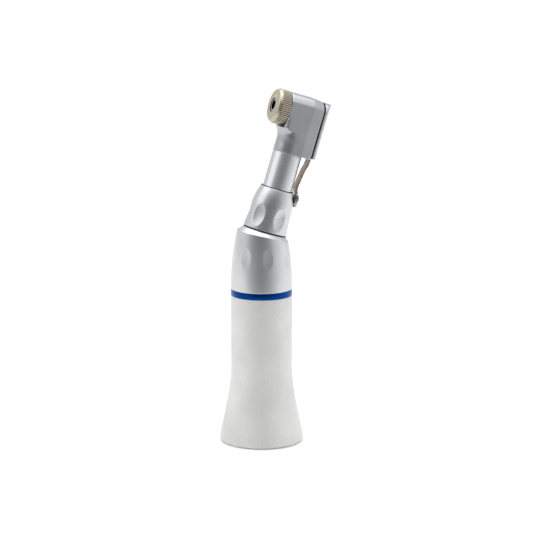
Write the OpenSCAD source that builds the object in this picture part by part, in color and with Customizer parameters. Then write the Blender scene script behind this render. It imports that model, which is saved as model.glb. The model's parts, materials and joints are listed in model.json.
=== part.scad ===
// Contra-angle handpiece for a slow-speed dental motor. Lengths are in millimetres.
// It stands on its rear rim with the body axis along +Z. The neck leans towards +X,
// the bur side of the head faces -X and the latch is on the +X side.

/* [Body] */
// Length of the rear sheath
sheath_len = 36.5; // [31:0.5:44]
// Outer radius of the flare at the rear rim
flare_r = 10.25; // [9.75:0.25:12.5]
// Height of the plain band at the rear rim
flare_band = 1.5; // [1:0.1:2.2]
// Rounding of the rear rim
rim_round = 0.6; // [0.2:0.1:0.8]
// Slope of the flare, in degrees from the body axis
flare_slope = 11.6; // [9:0.2:14]
// Radius of the sweep between the flare and the straight part
sweep_r = 50; // [40:1:60]
// Wall of the sheath in its straight part
sheath_wall = 1.0; // [0.7:0.1:1.6]
// Length of the colour ring
ring_len = 1.6; // [1:0.1:3]
// Distance from the colour ring to the bend point
middle_len = 11.4; // [9.5:0.1:14]
// Radius of the arc that narrows the middle sleeve
middle_arc_r = 70; // [58:1:100]
// Angle between the body axis and the neck axis, in degrees
bend_angle = 17; // [14:0.5:20.5]

/* [Motor socket] */
// Radius of the bore for the motor's nose
socket_r = 4.9; // [4.1:0.05:5.9]
// Length of the bore for the motor's nose
socket_len = 21.2; // [17.6:0.1:23]
// Wall of the socket tube
socket_wall = 1.55; // [1.2:0.05:2]
// Depth of the socket flange below the rear rim
flange_recess = 0.8; // [0.4:0.1:1.2]
// Thickness of the socket flange
flange_t = 1.6; // [1:0.1:2.5]
// Travel of the clutch dog against its spring
dog_travel = 1.5; // [0.8:0.1:1.8]
// Length of the chamber that holds the clutch dog and its spring
drive_room = 10; // [9.5:0.1:12]

/* [Shafts] */
// Radius of the rear shaft
rear_shaft_r = 1.5; // [1.25:0.05:1.8]
// Radius of the neck shaft
neck_shaft_r = 1.0; // [0.85:0.05:1.2]
// Ball radius in the rear shaft's bearings
rear_ball_r = 0.6; // [0.5:0.05:0.7]
// Ball radius in the neck shaft's bearings
neck_ball_r = 0.4; // [0.35:0.05:0.45]
// Ball radius in the chuck's bearings
chuck_ball_r = 0.35; // [0.3:0.01:0.38]
// Teeth on each gear at the bend
bend_teeth = 12; // [10:1:14]
// Teeth on each bevel gear in the head
head_teeth = 14; // [12:1:16]

/* [Neck] */
// Distance along the neck from the bend point to the head
neck_len = 22.5; // [19:0.5:27]
// Wall of the neck tube
neck_wall = 0.78; // [0.6:0.02:1]
// Distance along the neck from the bend point to the joint line
joint_n = 2.75; // [2.3:0.05:3.3]
// Thickness of the black gasket in the joint line
gasket_t = 0.33; // [0.2:0.01:0.5]
// Radius of the upper sleeve at the joint line
upper_base_r = 5.5; // [5.2:0.1:5.9]
// Length of the upper sleeve
upper_len = 10.4; // [9.6:0.1:10.9]
// Narrowing of the upper sleeve, in degrees
upper_taper = 3.7; // [2.5:0.1:4]
// Radius of the arc that rounds the upper sleeve off
upper_arc_r = 17; // [15:0.5:24]
// Length of that arc along the sleeve
upper_arc_len = 5; // [3:0.1:5.2]

/* [Grip dimples] */
// Dimples round the middle sleeve
middle_dimples = 8; // [6:1:10]
// Length of a dimple on the middle sleeve
middle_dimple_len = 5.1; // [3:0.1:5.5]
// Width of a dimple on the middle sleeve
middle_dimple_w = 2.6; // [2:0.1:2.8]
// Height of the dimples over the middle sleeve's lower end
middle_dimple_rise = 8.3; // [7:0.1:8.8]
// Turn of the middle sleeve's first dimple from the latch side, in degrees
middle_dimple_turn = -5; // [-22:1:22]
// Dimples round the upper sleeve
upper_dimples = 6; // [4:1:6]
// Length of a dimple on the upper sleeve
upper_dimple_len = 5.6; // [3:0.1:6]
// Width of a dimple on the upper sleeve
upper_dimple_w = 3.1; // [2:0.1:3.2]
// Height of the dimples over the upper sleeve's lower end
upper_dimple_rise = 3.5; // [3.2:0.1:4.5]
// Turn of the upper sleeve's first dimple from the latch side, in degrees
upper_dimple_turn = -18; // [-30:1:30]

/* [Head] */
// Radius of the head's barrel
head_r = 4.2; // [4.2:0.05:5]
// Half width of the head between its flat sides
head_w = 3.72; // [3.7:0.02:4]
// Distance from the neck's end to the head's axis
head_rise = 10.35; // [9.8:0.05:12.4]
// Front face of the head, measured from the neck axis
head_front = 3.6; // [3.55:0.05:3.7]
// Rear face of the head, measured from the neck axis
head_back = 5.0; // [5:0.05:5.6]
// Radius of the bur bore: a 2.35 mm shank slides in it
bur_r = 1.19; // [1.18:0.005:1.25]
// Wall of the chuck tube
chuck_wall = 0.51; // [0.45:0.01:0.55]
// Length of the thread boss that carries the cap
boss_len = 2.0; // [1.9:0.1:2.4]

/* [Cap] */
// Outer radius of the knurled cap
cap_r = 4.3; // [4.25:0.05:4.5]
// Length of the knurled band
knurl_len = 2.5; // [2:0.1:2.9]
// Teeth of the knurl
knurl_teeth = 54; // [40:2:60]
// Depth of the knurl
knurl_depth = 0.16; // [0.08:0.01:0.2]
// Thickness of the cap's front wall
cap_floor = 1.0; // [0.8:0.1:1.4]

/* [Latch] */
// Height of the latch plate's dome over the head's rear face
dome_rise = 2.1; // [1.6:0.1:2.6]
// Gap between the head and the latch plate
plate_gap = 0.35; // [0.3:0.01:0.5]
// Thickness of the latch plate at its edges
plate_edge = 0.35; // [0.3:0.05:0.6]
// Distance along the neck from the head's lower face to the latch screw
latch_rise = 4.1; // [3.6:0.1:5]
// Width of the lever arm
arm_w = 2.4; // [1.8:0.1:2.8]
// Thickness of the lever arm
arm_t = 0.5; // [0.4:0.05:0.55]
// Radius of the thumb pad
pad_r = 2.2; // [2:0.05:2.6]
// Thickness of the thumb pad at its middle
pad_t = 0.7; // [0.5:0.05:0.9]

/* [Hidden] */
$fn = 96;

fixed_gap = 0.03;     // between pieces that are fixed together
press_gap = 0.01;     // between a ring or gear and the shaft it is pressed on
seat_gap = 0.02;      // round a bearing in its seat
run_gap = 0.03;       // round a shaft or pin that turns
free_gap = 0.1;       // round a piece that moves past another

// Radii of the nested tubes of the body
tube_r = socket_r + socket_wall;
sheath_bore = tube_r + 0.05;
body_r = sheath_bore + sheath_wall;
middle_r = body_r + 0.05;
core_r = body_r - 1.5;
flange_r = flare_r - 1.5;

// Heights along the body
ring_z = sheath_len;
middle_z = sheath_len + ring_len;
bend_z = middle_z + middle_len;
flange_z = flange_recess;
socket_top = flange_z + socket_len;
groove_z = flange_z + 5.2;
groove_len = 1;
groove_depth = 0.5;
carrier_z = socket_top + 2;
rear_bearing_w = 4 * rear_ball_r;
rear_low_z = carrier_z + drive_room;
rear_high_z = bend_z - 3.9 - rear_bearing_w;
carrier_top = bend_z - 2.5;

// Radii of the three bearing sizes
rear_ring_r = rear_shaft_r + 2.5;
rear_mid_r = rear_shaft_r + 1.25;
neck_ring_r = neck_shaft_r + 1.8;
neck_mid_r = neck_shaft_r + 0.9;
chuck_r = bur_r + chuck_wall;
chuck_ring_r = chuck_r + 1.5;
chuck_mid_r = chuck_r + 0.75;
rear_ball_count = 9;
neck_ball_count = 9;
chuck_ball_count = 12;

// Places along the neck, measured from the bend point
lock_ring_n = 0.2;
neck_start = 0.9;
neck_shoulder = joint_n - 0.85;
neck_bore = neck_ring_r + seat_gap;
neck_r = neck_bore + neck_wall;
collar_r = neck_r + 1;
neck_bearing_w = 5 * neck_ball_r;
neck_low_n = 4.2;
neck_high_n = neck_len - 2.1 - neck_bearing_w;
stub_r = neck_r - 0.5;
stub_len = 3.5;
upper_n = joint_n + gasket_t;
upper_top_n = upper_n + upper_len;
head_n = neck_len + head_rise;

// Gears
bend_pitch_r = 2.5;
bend_face = 1;
bend_back = 2.3;
head_pitch_r = 2.6;
head_face = 0.86;
tooth_share = 0.34;
addendum = 0.2;
dedendum = 0.25;

// Clutch drive
dog_r = rear_shaft_r + 0.7;
dog_z = socket_top + 0.3;
dog_floor = dog_z + 2.3;
dog_top = dog_z + 6.7;
shaft_low_z = dog_floor + dog_travel + 0.2;
pin_r = 0.4;
pin_z = shaft_low_z + 1.3;
spring_wire_r = 0.2;
spring_turns = 5;

// Head and cap, measured along the head's axis from the neck axis
seat_depth = 1.6;
chuck_bearing_w = 1.4;
front_bearing = -head_front - boss_len;
rear_bearing = head_back - 0.6 - chuck_bearing_w;
boss_r = chuck_ring_r + 0.5;
washer_t = 0.32;
cap_inner = front_bearing - washer_t - 0.08;
cap_face = cap_inner - cap_floor;
cap_back = -head_front - 0.1;
nose_r = chuck_r - 0.15;
taper_h = 2.3;
taper_slope = 0.125;
plate_h = head_back + plate_gap;
plate_taper = taper_slope * (plate_h - taper_h);
plate_r = head_r - plate_taper;
plate_w = head_w - plate_taper;
plate_n = neck_len + 0.3;
latch_n = neck_len + latch_rise;
latch_pin_r = 0.6;
screw_head_r = 1.1;
dome_h = head_back + dome_rise;
screw_seat = plate_h + 0.6;

// Lever arm: points [distance from the neck axis, distance below the head's lower face]
arm_run = neck_len - upper_top_n;
pad_tilt = 7.8;
arm_h = plate_h + 0.05 + arm_t / 2;
arm_rest_h = neck_r + 0.9;
pad_start = 0.9 * arm_run;
pad_end = arm_run + 1;
arm_path = [[arm_h, 2.6], [arm_h, -0.02 * arm_run], [arm_h - 0.13, -0.18 * arm_run],
            [arm_h - 0.55, -0.33 * arm_run], [arm_h - 0.82, -0.53 * arm_run],
            [arm_rest_h + 0.1, -0.71 * arm_run], [arm_rest_h, -0.83 * arm_run],
            [arm_rest_h + 0.1, -pad_start],
            [arm_rest_h + 0.1 + (pad_end - pad_start) * tan(pad_tilt), -pad_end]];
rivet_r = 0.35;
pad_rivet_r = 0.45;
pad_rivet_x = -1.45;

// ---------- helpers

// Puts its children in the neck's frame: X points to the latch side and Z runs along the neck.
module in_neck(n = 0) {
    translate([0, 0, bend_z])
        rotate([0, bend_angle, 0])
            translate([0, 0, n])
                children();
}

// Puts its children on the head's axis: Z points to the latch side and X down the neck.
module in_head(h = 0) {
    in_neck(head_n)
        rotate([0, 90, 0])
            translate([0, 0, h])
                children();
}

module tube(r_out, r_in, len) {
    rotate_extrude()
        translate([r_in, 0])
            square([r_out - r_in, len]);
}

module ball_ring(r_in, r_out, mid_r, ball_r, w) {
    rotate_extrude()
        difference() {
            translate([r_in, 0])
                square([r_out - r_in, w]);
            translate([mid_r, w / 2])
                circle(ball_r + 0.02);
        }
}

module inner_ring(bore_r, mid_r, ball_r, w) {
    ball_ring(bore_r, mid_r - 0.45 * ball_r, mid_r, ball_r, w);
}

module outer_ring(r_out, mid_r, ball_r, w) {
    ball_ring(mid_r + 0.45 * ball_r, r_out, mid_r, ball_r, w);
}

module balls(count, mid_r, ball_r, w) {
    for (i = [0 : count - 1])
        rotate(i * 360 / count)
            translate([mid_r, 0, w / 2])
                sphere(ball_r);
}

// A cage has one round pocket for each ball.
module cage(count, mid_r, ball_r, w) {
    difference() {
        translate([0, 0, 0.1 * w])
            tube(mid_r + 0.25 * ball_r, mid_r - 0.25 * ball_r, 0.8 * w);
        for (i = [0 : count - 1])
            rotate(i * 360 / count)
                translate([mid_r - ball_r, 0, w / 2])
                    rotate([0, 90, 0])
                        cylinder(h = 2 * ball_r, r = ball_r + 0.02);
    }
}

// A bevel gear with its apex at the origin and its back towards +Z.
module bevel_gear(teeth, cone, pitch_r, face_w, bore_r, back, hub_r, hub_end, phase) {
    far = pitch_r / sin(cone);
    near = far - face_w;
    function at(l, o) = [l * sin(cone) + o * cos(cone), l * cos(cone) - o * sin(cone)];
    rotate_extrude()
        polygon([[bore_r, at(near, -dedendum)[1]], at(near, -dedendum), at(far, -dedendum),
                 [at(far, -dedendum)[0], back], [hub_r, back], [hub_r, hub_end], [bore_r, hub_end]]);
    intersection() {
        rotate_extrude()
            polygon([at(near, -dedendum - 0.1), at(near, addendum), at(far, addendum),
                     at(far, -dedendum - 0.1)]);
        linear_extrude(back)
            for (i = [0 : teeth - 1])
                rotate(phase + i * 360 / teeth)
                    tooth_sector(pitch_r + 1, 180 * tooth_share / teeth);
    }
}

module tooth_sector(reach, half) {
    polygon([[0.4, -0.4 * tan(half)], [reach, -reach * tan(half)], [reach, reach * tan(half)],
             [0.4, 0.4 * tan(half)]]);
}

// Ball-nosed scoops that each leave an oval of the given length and width on a round wall. tilt is
// the wall's narrowing in degrees, and bulge is its curvature along the axis.
module scoops(count, wall_r, z, len, w, tilt, bulge, first) {
    shape = pow(len / w, 2);
    scoop_r = (shape - 1) / (1 / wall_r - shape * bulge);
    depth = len * len / 8 * (1 / scoop_r + bulge);
    for (i = [0 : count - 1])
        rotate(first + i * 360 / count)
            translate([wall_r, 0, z])
                rotate([0, -tilt, 0])
                    translate([scoop_r - depth, 0, 0])
                        sphere(scoop_r, $fn = 180);
}

// Outline of a bent strip of constant thickness along a list of points.
function unit(v) = v / norm(v);
function lean(p, i) =
    let (last = len(p) - 1,
         before = unit(p[max(i, 1)] - p[max(i, 1) - 1]),
         after = unit(p[min(i, last - 1) + 1] - p[min(i, last - 1)]),
         middle = unit(before + after))
    [-middle[1], middle[0]] / (middle * before);
module strip(p, t) {
    polygon(concat([for (i = [0 : len(p) - 1]) p[i] + lean(p, i) * t / 2],
                   [for (i = [len(p) - 1 : -1 : 0]) p[i] - lean(p, i) * t / 2]));
}

// ---------- outer shells

module sheath_outline() {
    bend_r = body_r + sweep_r * (1 - cos(flare_slope));
    low = flare_band + (flare_r - bend_r) / tan(flare_slope);
    high = low + sweep_r * sin(flare_slope);
    square([body_r, sheath_len]);
    difference() {
        translate([0, low])
            square([bend_r, high - low]);
        translate([body_r + sweep_r, high])
            circle(sweep_r, $fn = 360);
    }
    polygon([[0, flare_band], [flare_r, flare_band], [bend_r, low], [0, low]]);
    translate([0, rim_round])
        square([flare_r, flare_band - rim_round]);
    square([flare_r - rim_round, flare_band]);
    translate([flare_r - rim_round, rim_round])
        circle(rim_round);
}

module rear_sheath() {
    color("gainsboro")
        rotate_extrude()
            difference() {
                sheath_outline();
                square([sheath_bore, sheath_len]);
                square([flange_r + fixed_gap, flange_z + flange_t]);
            }
}

module colour_ring() {
    color("navy")
        translate([0, 0, ring_z])
            tube(body_r, tube_r + fixed_gap, ring_len);
}

module middle_outline() {
    intersection() {
        square([middle_r, middle_len + 8]);
        translate([middle_r - middle_arc_r, 0])
            circle(middle_arc_r, $fn = 360);
    }
}

module middle_sleeve() {
    reach = 30;
    lip_r = upper_base_r - 0.1;
    dimple_tilt = asin(middle_dimple_rise / middle_arc_r);
    dimple_wall = middle_r - middle_arc_r * (1 - cos(dimple_tilt));
    color("silver")
        difference() {
            intersection() {
                translate([0, 0, middle_z])
                    rotate_extrude()
                        middle_outline();
                in_neck(joint_n - reach)
                    cylinder(h = reach, r1 = lip_r + reach, r2 = lip_r);
            }
            translate([0, 0, middle_z - 1])
                cylinder(h = carrier_top + 0.2 - middle_z + 1, r = core_r + fixed_gap);
            in_neck(-4)
                cylinder(h = 4 + neck_shoulder, r = collar_r + fixed_gap);
            in_neck()
                cylinder(h = joint_n + 1, r = neck_r + fixed_gap);
            scoops(middle_dimples, dimple_wall, middle_z + middle_dimple_rise, middle_dimple_len,
                   middle_dimple_w, dimple_tilt, 1 / middle_arc_r, middle_dimple_turn);
        }
}

module joint_gasket() {
    color("black")
        in_neck(joint_n)
            tube(upper_base_r - 0.15, neck_r + fixed_gap, gasket_t);
}

module upper_outline() {
    arc_start = upper_len - upper_arc_len;
    arc_r = upper_base_r - arc_start * tan(upper_taper);
    polygon([[0, 0], [upper_base_r, 0], [arc_r, arc_start], [0, arc_start]]);
    intersection() {
        translate([0, arc_start])
            square([upper_base_r, upper_arc_len]);
        translate([arc_r - upper_arc_r * cos(upper_taper), arc_start - upper_arc_r * sin(upper_taper)])
            circle(upper_arc_r, $fn = 240);
    }
}

module upper_sleeve() {
    dimple_wall = upper_base_r - upper_dimple_rise * tan(upper_taper);
    color("silver")
        in_neck(upper_n)
            difference() {
                rotate_extrude()
                    difference() {
                        upper_outline();
                        square([neck_r + fixed_gap, upper_len]);
                    }
                scoops(upper_dimples, dimple_wall, upper_dimple_rise, upper_dimple_len,
                       upper_dimple_w, upper_taper, 0, upper_dimple_turn);
            }
}

module sleeve_seal() {
    color("dimgray")
        in_neck(upper_top_n)
            tube(neck_r + 0.4, neck_r + fixed_gap, 0.2);
}

module neck_tube() {
    flange_len = neck_shoulder - neck_start;
    color("silver")
        in_neck()
            difference() {
                union() {
                    translate([0, 0, neck_start])
                        cylinder(h = flange_len, r = collar_r);
                    translate([0, 0, neck_start])
                        cylinder(h = neck_len - neck_start, r = neck_r);
                    cylinder(h = neck_len + stub_len, r = stub_r);
                }
                translate([0, 0, -1])
                    cylinder(h = 1 + neck_high_n + neck_bearing_w, r = neck_bore);
                cylinder(h = neck_len + stub_len + 1, r = stub_r - 0.9);
                translate([0, 0, -1])
                    cylinder(h = 1 + neck_start, r = neck_r + 2);
            }
}

module neck_lock_ring() {
    color("dimgray")
        in_neck(lock_ring_n)
            difference() {
                tube(collar_r, neck_bore + 0.4, neck_start - lock_ring_n);
                for (a = [0, 90])
                    rotate(a)
                        translate([-neck_r - 2, -0.4, -1])
                            cube([2 * neck_r + 4, 0.8, 1.35]);
            }
}

// ---------- head

// Section of the head across the neck: a round front, flat sides and a tapered back.
module head_section() {
    back_w = head_w - taper_slope * (head_back - taper_h);
    translate([head_w - head_front, 0])
        circle(head_w);
    polygon([[head_w - head_front, -head_w], [taper_h, -head_w], [head_back, -back_w],
             [head_back, back_w], [taper_h, head_w], [head_w - head_front, head_w]]);
}

// The barrel round the chuck, cut by the same flat sides.
module head_barrel() {
    back_taper = taper_slope * (head_back - taper_h);
    intersection() {
        union() {
            in_head(-head_front)
                cylinder(h = head_front + taper_h, r = head_r);
            in_head(taper_h)
                cylinder(h = head_back - taper_h, r1 = head_r, r2 = head_r - back_taper);
        }
        in_neck(neck_len)
            linear_extrude(head_rise + head_r + 1)
                polygon([[-head_front - 1, -head_w], [taper_h, -head_w],
                         [head_back, back_taper - head_w], [head_back, head_w - back_taper],
                         [taper_h, head_w], [-head_front - 1, head_w]]);
    }
}

// Under the cap the head's front swells in a hollow curve to a shelf, and above the shelf its flat
// sides run on to the front face.
module head_flare() {
    swell = 1.1;
    rise = 3;
    curve_r = (rise * rise + swell * swell) / (2 * swell);
    shelf = head_rise - cap_r - 0.15;
    intersection() {
        translate([head_w - head_front, 0, shelf - rise])
            rotate_extrude()
                difference() {
                    square([head_w + swell, rise]);
                    translate([head_w + curve_r, 0])
                        circle(curve_r, $fn = 180);
                }
        translate([-head_r * 2, -head_w, 0])
            cube([head_r * 2, 2 * head_w, head_rise]);
    }
    translate([0, 0, shelf])
        linear_extrude(head_rise - shelf)
            intersection() {
                translate([head_w - head_front, 0])
                    circle(head_w + swell);
                translate([-head_front, -head_w])
                    square([head_front, 2 * head_w]);
            }
}

module head_housing() {
    seat_r = chuck_ring_r + seat_gap;
    chamber_r = seat_r + 0.03;
    color("silver")
        difference() {
            union() {
                head_barrel();
                in_head(front_bearing)
                    cylinder(h = boss_len + 1, r = boss_r);
                in_neck(neck_len)
                    linear_extrude(head_rise)
                        head_section();
                in_neck(neck_len)
                    head_flare();
            }
            in_head(-head_front + 0.4)
                cylinder(h = rear_bearing + head_front - 0.4, r = chamber_r);
            in_head(front_bearing - 1)
                cylinder(h = 1 + seat_depth, r = seat_r);
            in_head(front_bearing)
                cylinder(h = boss_len + 1, r = seat_r - 0.4);
            in_head(rear_bearing - 1)
                cylinder(h = 1 + chuck_bearing_w, r = seat_r);
            in_head(rear_bearing)
                cylinder(h = 5, r = chuck_r + 0.15);
            in_neck(neck_len - 1)
                cylinder(h = 1 + head_rise - 1.85, r = stub_r + seat_gap);
            in_neck(latch_n)
                rotate([0, 90, 0])
                    translate([0, 0, head_back - 1.6])
                        cylinder(h = 2, r = latch_pin_r + press_gap);
        }
}

module knurl_outline() {
    step = 180 / knurl_teeth;
    polygon([for (i = [0 : 2 * knurl_teeth - 1])
        (cap_r - (i % 2) * knurl_depth) * [cos(i * step), sin(i * step)]]);
}

module head_cap() {
    knurl_h = cap_back - knurl_len;
    face_r = cap_r - knurl_depth;
    nose = knurl_h - cap_face;
    color("tan")
        in_head()
            difference() {
                union() {
                    translate([0, 0, knurl_h])
                        linear_extrude(knurl_len)
                            knurl_outline();
                    translate([0, 0, cap_face])
                        rotate_extrude() {
                            square([face_r - nose, nose + 0.1]);
                            intersection() {
                                square([face_r, nose]);
                                translate([face_r - nose, nose])
                                    circle(nose);
                            }
                        }
                }
                translate([0, 0, cap_inner])
                    cylinder(h = 10, r = boss_r + 0.05);
                translate([0, 0, cap_face - 1])
                    cylinder(h = 10, r = nose_r + free_gap);
            }
}

module cap_washer() {
    color("silver")
        in_head(cap_inner + 0.03)
            tube(boss_r - 0.1, nose_r + 0.6, washer_t);
}

// ---------- motor socket and bearing carrier

module socket_tube() {
    color("lightgray")
        difference() {
            union() {
                translate([0, 0, flange_z])
                    cylinder(h = flange_t, r = flange_r);
                translate([0, 0, flange_z])
                    cylinder(h = carrier_z - flange_z, r = tube_r);
            }
            translate([0, 0, flange_z - 1])
                cylinder(h = 1 + socket_len, r = socket_r);
            translate([0, 0, flange_z])
                cylinder(h = carrier_z, r = dog_r + 0.6);
            translate([0, 0, groove_z])
                cylinder(h = groove_len, r = socket_r + groove_depth);
        }
}

module retaining_ring() {
    color("dimgray")
        translate([0, 0, groove_z + 0.05])
            difference() {
                tube(socket_r + groove_depth - 0.05, socket_r + 0.2, groove_len - 0.1);
                translate([0, -1, -1])
                    cube([2 * socket_r, 2, 3]);
            }
}

module bearing_carrier() {
    nut_room = rear_ring_r + 0.35;
    color("lightgray")
        difference() {
            union() {
                translate([0, 0, carrier_z])
                    cylinder(h = middle_z - carrier_z, r = tube_r);
                translate([0, 0, carrier_z])
                    cylinder(h = carrier_top - carrier_z, r = core_r);
            }
            translate([0, 0, carrier_z - 1])
                cylinder(h = 1 + drive_room, r = nut_room);
            translate([0, 0, carrier_z])
                cylinder(h = rear_high_z + rear_bearing_w - carrier_z, r = rear_ring_r + seat_gap);
            translate([0, 0, carrier_z])
                cylinder(h = carrier_top, r = bend_pitch_r + 0.5);
            translate([0, 0, middle_z + 3])
                tube(core_r + 1, core_r - 0.5, 0.9);
        }
}

module carrier_seal() {
    color("black")
        translate([0, 0, middle_z + 3.45])
            rotate_extrude()
                translate([core_r - 0.24, 0])
                    circle(0.24, $fn = 48);
}

module bearing_nut() {
    t = 1.8;
    color("dimgray")
        translate([0, 0, rear_low_z - t])
            difference() {
                tube(rear_ring_r + 0.32, rear_mid_r + 0.15, t);
                for (a = [0, 90])
                    rotate(a)
                        translate([-6, -0.5, -1])
                            cube([12, 1, 1.7]);
            }
}

module rear_outer_rings() {
    color("silver")
        for (z = [rear_low_z, rear_high_z])
            translate([0, 0, z])
                outer_ring(rear_ring_r, rear_mid_r, rear_ball_r, rear_bearing_w);
}

module rear_spacer() {
    color("lightgray")
        translate([0, 0, rear_low_z + rear_bearing_w])
            tube(rear_ring_r - 0.02, rear_ring_r - 0.7, rear_high_z - rear_low_z - rear_bearing_w);
}

// ---------- rear shaft

module rear_shaft() {
    seat_z = rear_high_z + rear_bearing_w;
    color("silver")
        difference() {
            union() {
                translate([0, 0, shaft_low_z])
                    cylinder(h = seat_z - shaft_low_z, r = rear_shaft_r);
                translate([0, 0, rear_low_z + rear_bearing_w])
                    cylinder(h = rear_high_z - rear_low_z - rear_bearing_w, r = rear_shaft_r + 0.5);
                translate([0, 0, seat_z])
                    cylinder(h = bend_z - 0.5 - seat_z, r = rear_shaft_r - 0.5);
            }
            translate([-5, 0, pin_z])
                rotate([0, 90, 0])
                    cylinder(h = 10, r = pin_r + press_gap);
        }
}

module rear_inner_rings() {
    color("silver")
        for (z = [rear_low_z, rear_high_z])
            translate([0, 0, z])
                inner_ring(rear_shaft_r + press_gap, rear_mid_r, rear_ball_r, rear_bearing_w);
}

module spring_seat() {
    color("silver")
        translate([0, 0, rear_low_z - 0.4])
            tube(rear_mid_r - 0.35, rear_shaft_r + press_gap, 0.4);
}

module drive_pin() {
    pin_len = 2 * dog_r - 0.3;
    color("dimgray")
        translate([-pin_len / 2, 0, pin_z])
            rotate([0, 90, 0])
                cylinder(h = pin_len, r = pin_r);
}

module rear_gear() {
    color("goldenrod")
        translate([0, 0, bend_z])
            rotate([180, 0, 0])
                bevel_gear(bend_teeth, 90 - bend_angle / 2, bend_pitch_r, bend_face,
                           rear_shaft_r - 0.5 + press_gap, bend_back, rear_shaft_r + 0.4, 3.9, 0);
}

module clutch_dog() {
    slot_low = pin_z - dog_travel - pin_r - 0.05;
    claw_slot = 1.5;
    color("silver")
        difference() {
            translate([0, 0, dog_z])
                cylinder(h = dog_top - dog_z, r = dog_r);
            translate([0, 0, dog_floor])
                cylinder(h = 10, r = rear_shaft_r + run_gap);
            translate([-dog_r - 1, -claw_slot / 2, dog_z - 1])
                cube([2 * dog_r + 2, claw_slot, 2.6]);
            translate([-dog_r - 1, -pin_r - run_gap, slot_low])
                cube([2 * dog_r + 2, 2 * (pin_r + run_gap), dog_travel + 2 * pin_r + 0.1]);
        }
}

// The coil is swept along a helix, with a ring of points at every step.
module clutch_spring() {
    sides = 8;
    steps = 16 * spring_turns;
    coil_r = rear_shaft_r + 0.45;
    low = dog_top + 0.05 + spring_wire_r;
    high = rear_low_z - 0.45 - spring_wire_r;
    points = [for (i = [0 : steps]) for (j = [0 : sides - 1])
        let (a = i * 360 * spring_turns / steps, b = j * 360 / sides)
        [(coil_r + spring_wire_r * cos(b)) * cos(a), (coil_r + spring_wire_r * cos(b)) * sin(a),
         low + (high - low) * i / steps + spring_wire_r * sin(b)]];
    walls = [for (i = [0 : steps - 1]) for (j = [0 : sides - 1])
        let (k = (j + 1) % sides)
        [i * sides + j, (i + 1) * sides + j, (i + 1) * sides + k, i * sides + k]];
    ends = [[for (j = [0 : sides - 1]) j],
            [for (j = [0 : sides - 1]) steps * sides + sides - 1 - j]];
    color("gray")
        polyhedron(points, concat(walls, ends), convexity = 10);
}

module rear_balls() {
    color("white")
        for (z = [rear_low_z, rear_high_z])
            translate([0, 0, z])
                balls(rear_ball_count, rear_mid_r, rear_ball_r, rear_bearing_w);
}

module rear_cages() {
    color("peru")
        for (z = [rear_low_z, rear_high_z])
            translate([0, 0, z])
                cage(rear_ball_count, rear_mid_r, rear_ball_r, rear_bearing_w);
}

// ---------- neck shaft

module neck_bearing_nut() {
    t = 1.5;
    color("dimgray")
        in_neck(neck_low_n - t)
            difference() {
                tube(neck_ring_r, neck_shaft_r + 0.5, t);
                translate([-4, -0.35, -1])
                    cube([8, 0.7, 1.5]);
            }
}

module neck_outer_rings() {
    color("silver")
        for (n = [neck_low_n, neck_high_n])
            in_neck(n)
                outer_ring(neck_ring_r, neck_mid_r, neck_ball_r, neck_bearing_w);
}

module neck_spacer() {
    color("lightgray")
        in_neck(neck_low_n + neck_bearing_w)
            tube(neck_ring_r - 0.02, neck_ring_r - 0.5, neck_high_n - neck_low_n - neck_bearing_w);
}

module neck_shaft() {
    color("silver")
        in_neck() {
            translate([0, 0, 0.5])
                cylinder(h = head_n - 2.05 - 0.5, r = neck_shaft_r);
            translate([0, 0, neck_low_n + neck_bearing_w])
                cylinder(h = neck_high_n - neck_low_n - neck_bearing_w, r = neck_shaft_r + 0.25);
        }
}

module neck_inner_rings() {
    color("silver")
        for (n = [neck_low_n, neck_high_n])
            in_neck(n)
                inner_ring(neck_shaft_r + press_gap, neck_mid_r, neck_ball_r, neck_bearing_w);
}

module neck_gear() {
    color("goldenrod")
        in_neck()
            bevel_gear(bend_teeth, 90 - bend_angle / 2, bend_pitch_r, bend_face,
                       neck_shaft_r + press_gap, bend_back, neck_shaft_r + 0.3, neck_low_n,
                       180 / bend_teeth);
}

module head_pinion() {
    color("goldenrod")
        in_neck(head_n)
            rotate([180, 0, 0])
                bevel_gear(head_teeth, 45, head_pitch_r, head_face, neck_shaft_r + press_gap,
                           3.3, neck_shaft_r + 0.6, 4.5, 0);
}

module neck_balls() {
    color("white")
        for (n = [neck_low_n, neck_high_n])
            in_neck(n)
                balls(neck_ball_count, neck_mid_r, neck_ball_r, neck_bearing_w);
}

module neck_cages() {
    color("peru")
        for (n = [neck_low_n, neck_high_n])
            in_neck(n)
                cage(neck_ball_count, neck_mid_r, neck_ball_r, neck_bearing_w);
}

// ---------- chuck

// The bore ends in a half-round socket that drives the shank.
module chuck_tube() {
    drive_len = 1.6;
    drive_gap = 0.2;
    flat = 0.55;
    nose = cap_face + 0.12;
    tail = head_back - 0.1;
    color("silver")
        in_head()
            difference() {
                union() {
                    translate([0, 0, nose])
                        cylinder(h = tail - nose, r = nose_r);
                    translate([0, 0, front_bearing])
                        cylinder(h = tail - front_bearing, r = chuck_r);
                }
                translate([0, 0, nose - 1])
                    cylinder(h = tail - drive_len - nose + 1, r = bur_r);
                intersection() {
                    translate([0, 0, tail - drive_len])
                        cylinder(h = 20, r = bur_r + drive_gap);
                    translate([-5, -5, tail - drive_len])
                        cube([10, 5 + flat, 20]);
                }
            }
}

module chuck_gear() {
    color("goldenrod")
        in_head()
            bevel_gear(head_teeth, 45, head_pitch_r, head_face, chuck_r + press_gap,
                       rear_bearing - 0.1, chuck_r + 0.35, rear_bearing, 180 / head_teeth);
}

module chuck_inner_rings() {
    color("silver")
        for (h = [front_bearing, rear_bearing])
            in_head(h)
                inner_ring(chuck_r + press_gap, chuck_mid_r, chuck_ball_r, chuck_bearing_w);
}

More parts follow.
